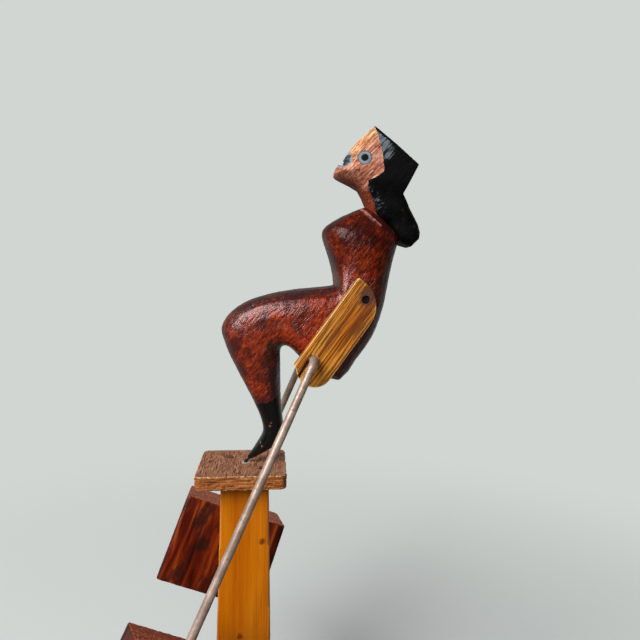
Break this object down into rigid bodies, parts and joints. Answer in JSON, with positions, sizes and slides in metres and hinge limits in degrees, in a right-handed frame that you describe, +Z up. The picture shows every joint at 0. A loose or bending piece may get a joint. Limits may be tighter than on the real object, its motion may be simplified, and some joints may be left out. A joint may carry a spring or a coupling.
{
  "type": "balancing folk art figure",
  "caption": "Carved wooden figure that balances on one boot toe on a post, held upright by weighted rods hung from its hips; it rocks, sways and turns on the toe.",
  "frame": {"origin": "middle of the base board's underside, on the post's axis", "axes": "+Z up along the post; the figure faces -X; +Y is the figure's right side"},
  "size_m": [0.1307, 0.1722, 0.3153],
  "materials": {
    "brown_wood": "satin",
    "pine": "satin",
    "plate_wood": "matte",
    "bright_steel": "satin",
    "dark_steel": "satin",
    "grey_steel": "satin",
    "red_varnish": "gloss",
    "face_wood": "satin",
    "bare_wood": "matte",
    "yellow_wood": "satin",
    "dark_varnish": "gloss"
  },
  "bodies": {
    "stand": {"base_board": "brown_wood", "base_screws": "bright_steel", "post": "pine", "top_plate": "plate_wood", "plate_nails": "dark_steel"},
    "pivot_cup": {"pivot_cup": "bright_steel"},
    "pivot_ball": {"pivot_ball": "dark_steel"},
    "figure": {"toe_pin": "dark_steel", "figure_body": "red_varnish", "neck_dowel": "bare_wood", "head": "face_wood", "left_hip_board": "yellow_wood", "right_hip_board": "yellow_wood", "left_hip_nail": "dark_steel", "right_hip_nail": "dark_steel", "left_rod": "grey_steel", "right_rod": "grey_steel", "left_weight": "dark_varnish", "right_weight": "dark_varnish"}
  },
  "joints": [
    {"name": "turn", "type": "hinge", "parent": "stand", "child": "pivot_cup", "pos_m": [0, 0, 0.1786], "axis": [0, 0, 1], "continuous": true},
    {"name": "sway", "type": "hinge", "parent": "pivot_cup", "child": "pivot_ball", "pos_m": [0, 0, 0.1786], "axis": [1, 0, 0], "range_deg": [-8, 8]},
    {"name": "rock", "type": "hinge", "parent": "pivot_ball", "child": "figure", "pos_m": [0, 0, 0.1786], "axis": [0, 1, 0], "range_deg": [-25, 20]}
  ]
}
